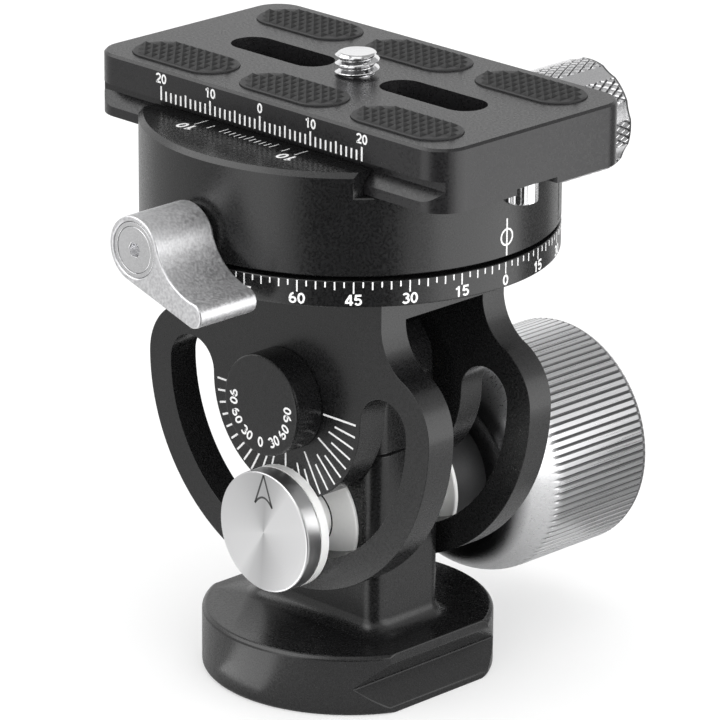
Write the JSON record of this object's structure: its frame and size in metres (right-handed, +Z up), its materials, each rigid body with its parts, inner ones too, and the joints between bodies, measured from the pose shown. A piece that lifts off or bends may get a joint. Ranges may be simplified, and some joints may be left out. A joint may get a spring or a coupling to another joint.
{
  "type": "monopod head",
  "caption": "Two-way monopod head: a slotted fork tilts on a stem above a round dovetail base, a graduated drum pans on top, and a dovetail clamp holds a sliding quick-release plate.",
  "frame": {"origin": "centre of the base underside, at the mouth of the threaded socket", "axes": "+Z up along the stem, +X along the quick-release plate, +Y along the tilt axis towards the tilt knob"},
  "size_m": [0.07, 0.0917, 0.0928],
  "materials": {
    "black_anodised": "satin",
    "grey_metal": "satin",
    "silver_alloy": "satin",
    "bright_steel": "polished",
    "plain_steel": "brushed",
    "white_nylon": "matte",
    "brass_bush": "satin",
    "black_rubber": "matte"
  },
  "bodies": {
    "base": {"base_stem": "black_anodised", "thread_insert": "brass_bush", "pivot_axle": "plain_steel", "tilt_bolt": "plain_steel", "indicator_disc": "silver_alloy", "disc_washer": "white_nylon", "slot_sleeves": "white_nylon", "inner_washers": "white_nylon", "knob_washer": "white_nylon"},
    "fork": {"fork": "black_anodised", "scale_ring": "black_anodised", "pivot_cap_front": "black_anodised", "pivot_cap_rear": "black_anodised", "axle_bushes": "brass_bush", "pan_spindle": "plain_steel", "spindle_screw": "plain_steel", "thrust_washer": "white_nylon", "retainer_disc": "plain_steel", "retainer_screw": "plain_steel"},
    "drum": {"drum": "black_anodised", "drum_bush": "brass_bush", "bed_cover": "black_anodised", "guide_pins": "plain_steel"},
    "lever": {"pan_lever": "silver_alloy", "lever_stud": "plain_steel", "lever_washer": "silver_alloy", "lever_screw": "bright_steel"},
    "shoe": {"brake_shoe": "brass_bush"},
    "jaw": {"moving_jaw": "black_anodised", "clamp_washer": "plain_steel"},
    "clamp": {"clamp_knob": "silver_alloy", "clamp_screw": "plain_steel", "clamp_cap": "silver_alloy"},
    "plate": {"qr_plate": "black_anodised", "rubber_pads": "black_rubber", "stop_screws": "bright_steel", "screw_circlip": "plain_steel"},
    "screw": {"camera_screw": "bright_steel"},
    "knob": {"tilt_knob": "silver_alloy", "knob_collar": "grey_metal", "knob_insert": "brass_bush", "knob_cap": "silver_alloy"}
  },
  "joints": [
    {"name": "tilt", "type": "hinge", "parent": "base", "child": "fork", "pos_m": [0, 0, 0.044], "axis": [0, 1, 0], "range_deg": [-90, 90]},
    {"name": "pan", "type": "hinge", "parent": "fork", "child": "drum", "pos_m": [0, 0, 0.0748], "axis": [0, 0, 1], "continuous": true},
    {"name": "lever_turn", "type": "hinge", "parent": "drum", "child": "lever", "pos_m": [0, -0.036, 0.0727], "axis": [0, -1, 0], "range_deg": [0, 90]},
    {"name": "shoe_slide", "type": "slide", "parent": "drum", "child": "shoe", "axis": [0, -1, 0], "range_m": [0, 0.0002]},
    {"name": "jaw_slide", "type": "slide", "parent": "drum", "child": "jaw", "axis": [0, 1, 0], "range_m": [0, 0.00375]},
    {"name": "clamp_turn", "type": "hinge", "parent": "jaw", "child": "clamp", "pos_m": [0, 0.04, 0.0729], "axis": [0, 1, 0], "range_deg": [0, 1687.5]},
    {"name": "plate_slide", "type": "slide", "parent": "drum", "child": "plate", "axis": [1, 0, 0], "range_m": [-0.0208, 0.0185]},
    {"name": "screw_turn", "type": "hinge", "parent": "plate", "child": "screw", "pos_m": [0.0012, 0, 0.0856], "axis": [0, 0, 1], "continuous": true},
    {"name": "knob_turn", "type": "hinge", "parent": "base", "child": "knob", "pos_m": [0, 0.03, 0.0246], "axis": [0, 1, 0], "range_deg": [0, 360]}
  ],
  "couplings": [
    {"joint": "shoe_slide", "follows": "lever_turn", "m_per_rad": 0.00012732},
    {"joint": "clamp_turn", "follows": "jaw_slide", "rad_per_m": 7854}
  ]
}
